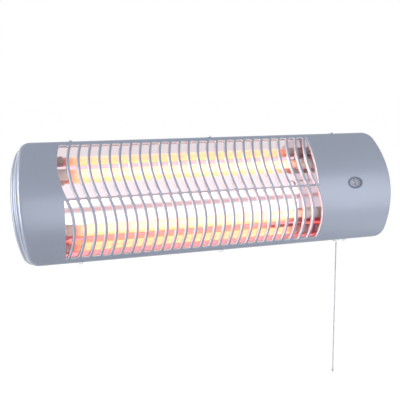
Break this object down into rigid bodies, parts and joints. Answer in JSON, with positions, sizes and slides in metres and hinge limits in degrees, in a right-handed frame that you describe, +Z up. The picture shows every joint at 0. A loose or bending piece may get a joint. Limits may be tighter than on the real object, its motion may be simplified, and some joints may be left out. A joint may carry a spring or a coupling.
{
  "type": "electric bar heater",
  "caption": "Wall-mounted quartz bar heater with a curved slatted grille, double-trough reflector, pull-cord switch, number window and tilting bracket.",
  "frame": {"origin": "middle of the wall bracket's back face, level with the tilt pivots", "axes": "+X along the heater to the viewer's right, +Y into the wall, +Z up"},
  "size_m": [0.483, 0.0887, 0.3136],
  "materials": {
    "painted_steel": "satin silver-blue powder coat",
    "polished_reflector": "mirror-polished sheet",
    "quartz": "clear fused quartz",
    "coil": "red-hot resistance wire",
    "ceramic": "unglazed steatite",
    "zinc_steel": "bright zinc plate",
    "white_nylon": "moulded nylon",
    "cord": "braided white cord",
    "grey_plastic": "moulded grey plastic",
    "clear_lens": "clear polycarbonate",
    "black_rubber": "matt",
    "lead_sleeve": "woven glass-fibre sleeve"
  },
  "bodies": {
    "bracket": {"wall_bracket": "zinc_steel", "pivot_bolt_left": "zinc_steel", "pivot_bolt_right": "zinc_steel", "wing_nut_left": "zinc_steel", "wing_nut_right": "zinc_steel"},
    "housing": {"front_panel": "painted_steel", "rear_shell": "painted_steel", "reflector": "polished_reflector", "reflector_end_left": "polished_reflector", "reflector_end_right": "polished_reflector", "quartz_tube_top": "quartz", "quartz_tube_bottom": "quartz", "heating_coil_top": "coil", "heating_coil_bottom": "coil", "tube_cap_top_left": "ceramic", "tube_cap_top_right": "ceramic", "tube_cap_bottom_left": "ceramic", "tube_cap_bottom_right": "ceramic", "tilt_bracket": "zinc_steel", "tilt_screw_1": "zinc_steel", "tilt_screw_2": "zinc_steel", "tilt_screw_3": "zinc_steel", "tilt_screw_4": "zinc_steel", "reflector_screw_1": "zinc_steel", "reflector_screw_2": "zinc_steel", "reflector_screw_3": "zinc_steel", "reflector_screw_4": "zinc_steel", "cover_screw_top_1": "zinc_steel", "cover_screw_top_2": "zinc_steel", "cover_screw_top_3": "zinc_steel", "cover_screw_bottom_1": "zinc_steel", "cover_screw_bottom_2": "zinc_steel", "cover_screw_bottom_3": "zinc_steel", "return_spring": "zinc_steel", "switch_body": "white_nylon", "cord_bushing": "white_nylon", "terminal_block": "white_nylon", "inlet_clamp": "white_nylon", "window_bezel": "grey_plastic", "thermal_cutout": "grey_plastic", "window_lens": "clear_lens", "inlet_grommet": "black_rubber", "lead_top": "lead_sleeve", "lead_bottom": "lead_sleeve", "lead_switch": "lead_sleeve", "jumper_lead_top": "lead_sleeve", "jumper_lead_bottom": "lead_sleeve"},
    "pull": {"pull_slider": "white_nylon", "pull_cord_inner": "cord"},
    "drum": {"drum_shaft": "zinc_steel", "ratchet_wheel": "white_nylon", "number_drum": "grey_plastic"},
    "cord": {"pull_cord": "cord", "cord_knot": "cord"}
  },
  "joints": [
    {"name": "housing_tilt", "type": "hinge", "parent": "bracket", "child": "housing", "pos_m": [0, -0.028, 0], "axis": [1, 0, 0], "range_deg": [-14, 46]},
    {"name": "cord_pull", "type": "slide", "parent": "housing", "child": "pull", "axis": [0, -0.2756, -0.9613], "range_m": [0, 0.0086], "stiffness_N_per_m": 300, "springref_m": -0.01, "deforming": ["return_spring"]},
    {"name": "drum_spin", "type": "hinge", "parent": "housing", "child": "drum", "pos_m": [0.1647, -0.0701, 0.01207], "axis": [-1, 0, 0], "range_deg": [0, 60]},
    {"name": "cord_swing", "type": "hinge", "parent": "pull", "child": "cord", "pos_m": [0.1647, -0.0724, -0.06051], "axis": [1, 0, 0], "range_deg": [-46, 14]}
  ],
  "couplings": [
    {"joint": "drum_spin", "follows": "cord_pull", "rad_per_m": 121.76},
    {"joint": "cord_swing", "follows": "housing_tilt", "ratio": -1}
  ]
}
